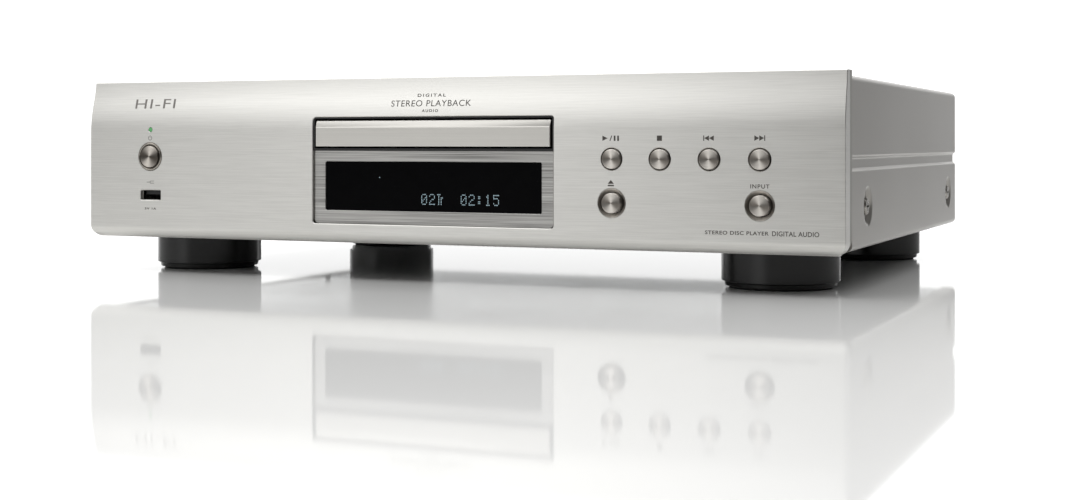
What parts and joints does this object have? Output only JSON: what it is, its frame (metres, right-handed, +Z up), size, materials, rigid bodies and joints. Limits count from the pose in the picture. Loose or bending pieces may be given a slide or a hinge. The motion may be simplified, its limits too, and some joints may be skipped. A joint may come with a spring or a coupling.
{
  "type": "cd player",
  "caption": "Full-width hi-fi disc player: curved brushed front, sliding tray over a dark display window, round buttons, folded steel cover and drum feet.",
  "frame": {"origin": "on the surface it stands on, under the middle of the bounding box", "axes": "+Z up, the front faces -Y, +X to the right seen from the front; the width along X is the longest extent and the height along Z the shortest"},
  "size_m": [0.434, 0.328, 0.107],
  "materials": {
    "brushed_aluminium": "fine horizontal brushing, clear anodised",
    "door_aluminium": "satin, clear anodised",
    "turned_aluminium": "turned face, clear anodised",
    "polished_ring": "polished",
    "silver_plastic": "moulded, silver paint",
    "cover_paint": "satin silver-grey paint on steel sheet",
    "zinc_steel": "zinc-plated sheet",
    "socket_steel": "nickel plated",
    "screw_steel": "nickel plated",
    "foot_plastic": "moulded, glossy",
    "pad_rubber": "matt",
    "belt_rubber": "matt",
    "black_plastic": "moulded, fine texture",
    "shutter_plastic": "moulded",
    "white_plastic": "moulded acetal",
    "cable_plastic": "flexible flat cable",
    "smoked_acrylic": "polished, dark",
    "display_glass": "glass-fronted module",
    "green_board": "solder mask",
    "green_lens": "clear, lit green",
    "cast_zinc": "die cast",
    "brass": "turned",
    "lens_glass": "coated lens",
    "core_steel": "varnished laminations",
    "black_aluminium": "black anodised",
    "capacitor_sleeve": "shrink sleeve"
  },
  "bodies": {
    "root": {"ac_inlet": "black_plastic", "bottom_chassis": "zinc_steel", "capacitors": "capacitor_sleeve", "chassis_screws": "screw_steel", "clamper_bridge": "zinc_steel", "coax_jack": "black_plastic", "cover_screws": "screw_steel", "display_bezel": "brushed_aluminium", "display_module": "display_glass", "display_window": "smoked_acrylic", "feet": "foot_plastic", "foot_pads": "pad_rubber", "front_panel": "brushed_aluminium", "front_pcb": "green_board", "front_subframe": "silver_plastic", "heat_sink": "black_aluminium", "loading_belt": "belt_rubber", "loading_motor": "zinc_steel", "main_pcb": "green_board", "mains_plate": "zinc_steel", "mech_base": "black_plastic", "optical_out": "black_plastic", "power_led": "green_lens", "power_pcb": "green_board", "power_ring": "polished_ring", "rca_jacks": "black_plastic", "rear_panel": "zinc_steel", "remote_jacks": "black_plastic", "ribbon_cables": "cable_plastic", "socket_plate": "zinc_steel", "spacers": "zinc_steel", "tact_switches": "black_plastic", "top_cover": "cover_paint", "transformer": "core_steel", "tray_surround": "black_plastic", "usb_shell": "socket_steel", "usb_tongue": "black_plastic"},
    "tray": {"disc_tray": "black_plastic", "tray_door": "door_aluminium"},
    "traverse": {"traverse_frame": "zinc_steel", "spindle_motor": "zinc_steel", "guide_rods": "socket_steel", "sled_motor": "zinc_steel"},
    "turntable": {"turntable": "black_plastic"},
    "sled": {"pickup_sled": "cast_zinc", "objective_lens": "lens_glass"},
    "sled_gear": {"sled_gear": "brass"},
    "clamper": {"disc_clamper": "black_plastic"},
    "cam": {"cam_slider": "white_plastic"},
    "loading_gear": {"loading_gear": "white_plastic"},
    "loading_pulley": {"loading_pulley": "white_plastic"},
    "motor_pulley": {"motor_pulley": "brass"},
    "shutter": {"optical_shutter": "shutter_plastic"},
    "power_button": {"power_button": "turned_aluminium"},
    "play_button": {"play_button": "turned_aluminium"},
    "stop_button": {"stop_button": "turned_aluminium"},
    "previous_button": {"previous_button": "turned_aluminium"},
    "next_button": {"next_button": "turned_aluminium"},
    "eject_button": {"eject_button": "turned_aluminium"},
    "source_button": {"source_button": "turned_aluminium"}
  },
  "joints": [
    {"name": "tray_slide", "type": "slide", "parent": "root", "child": "tray", "axis": [0, -1, 0], "range_m": [0, 0.145]},
    {"name": "power_push", "type": "slide", "parent": "root", "child": "power_button", "axis": [0, 1, 0], "range_m": [0, 0.0008], "stiffness_N_per_m": 1500},
    {"name": "play_push", "type": "slide", "parent": "root", "child": "play_button", "axis": [0, 1, 0], "range_m": [0, 0.0008], "stiffness_N_per_m": 1500},
    {"name": "stop_push", "type": "slide", "parent": "root", "child": "stop_button", "axis": [0, 1, 0], "range_m": [0, 0.0008], "stiffness_N_per_m": 1500},
    {"name": "previous_push", "type": "slide", "parent": "root", "child": "previous_button", "axis": [0, 1, 0], "range_m": [0, 0.0008], "stiffness_N_per_m": 1500},
    {"name": "next_push", "type": "slide", "parent": "root", "child": "next_button", "axis": [0, 1, 0], "range_m": [0, 0.0008], "stiffness_N_per_m": 1500},
    {"name": "eject_push", "type": "slide", "parent": "root", "child": "eject_button", "axis": [0, 1, 0], "range_m": [0, 0.0008], "stiffness_N_per_m": 1500},
    {"name": "source_push", "type": "slide", "parent": "root", "child": "source_button", "axis": [0, 1, 0], "range_m": [0, 0.0008], "stiffness_N_per_m": 1500},
    {"name": "loading_gear_turn", "type": "hinge", "parent": "root", "child": "loading_gear", "pos_m": [-0.0455, -0.122, 0.07], "axis": [0, 0, 1], "range_deg": [0, 640]},
    {"name": "loading_pulley_turn", "type": "hinge", "parent": "root", "child": "loading_pulley", "pos_m": [-0.022, -0.122, 0.065], "axis": [0, 0, 1], "range_deg": [-2560, 0]},
    {"name": "motor_pulley_turn", "type": "hinge", "parent": "root", "child": "motor_pulley", "pos_m": [0.018, -0.128, 0.063], "axis": [0, 0, 1], "range_deg": [-7110, 0]},
    {"name": "traverse_lower", "type": "hinge", "parent": "root", "child": "traverse", "pos_m": [0, 0.016, 0.057], "axis": [1, 0, 0], "range_deg": [0, 4]},
    {"name": "cam_slide", "type": "slide", "parent": "root", "child": "cam", "axis": [1, 0, 0], "range_m": [0, 0.0241]},
    {"name": "turntable_spin", "type": "hinge", "parent": "traverse", "child": "turntable", "pos_m": [0, -0.084, 0.075], "axis": [0, 0, 1], "continuous": true},
    {"name": "clamper_spin", "type": "hinge", "parent": "root", "child": "clamper", "pos_m": [0, -0.084, 0.087], "axis": [0, 0, 1], "continuous": true},
    {"name": "sled_slide", "type": "slide", "parent": "traverse", "child": "sled", "axis": [0, 1, 0], "range_m": [0, 0.035]},
    {"name": "sled_gear_turn", "type": "hinge", "parent": "traverse", "child": "sled_gear", "pos_m": [0.0272, -0.04, 0.066], "axis": [0, 0, 1], "range_deg": [-224, 0]},
    {"name": "shutter_swing", "type": "hinge", "parent": "root", "child": "shutter", "pos_m": [0.086, 0.1553, 0.0545], "axis": [1, 0, 0], "range_deg": [-80, 0], "stiffness_Nm_per_rad": 0.001, "springref_deg": 11.46}
  ],
  "couplings": [
    {"joint": "loading_gear_turn", "follows": "tray_slide", "rad_per_m": 76.923},
    {"joint": "loading_pulley_turn", "follows": "tray_slide", "rad_per_m": -307.69},
    {"joint": "motor_pulley_turn", "follows": "tray_slide", "rad_per_m": -854.7},
    {"joint": "cam_slide", "follows": "traverse_lower", "m_per_rad": 0.34377},
    {"joint": "turntable_spin", "follows": "clamper_spin", "ratio": 1},
    {"joint": "sled_gear_turn", "follows": "sled_slide", "rad_per_m": -111.11}
  ]
}
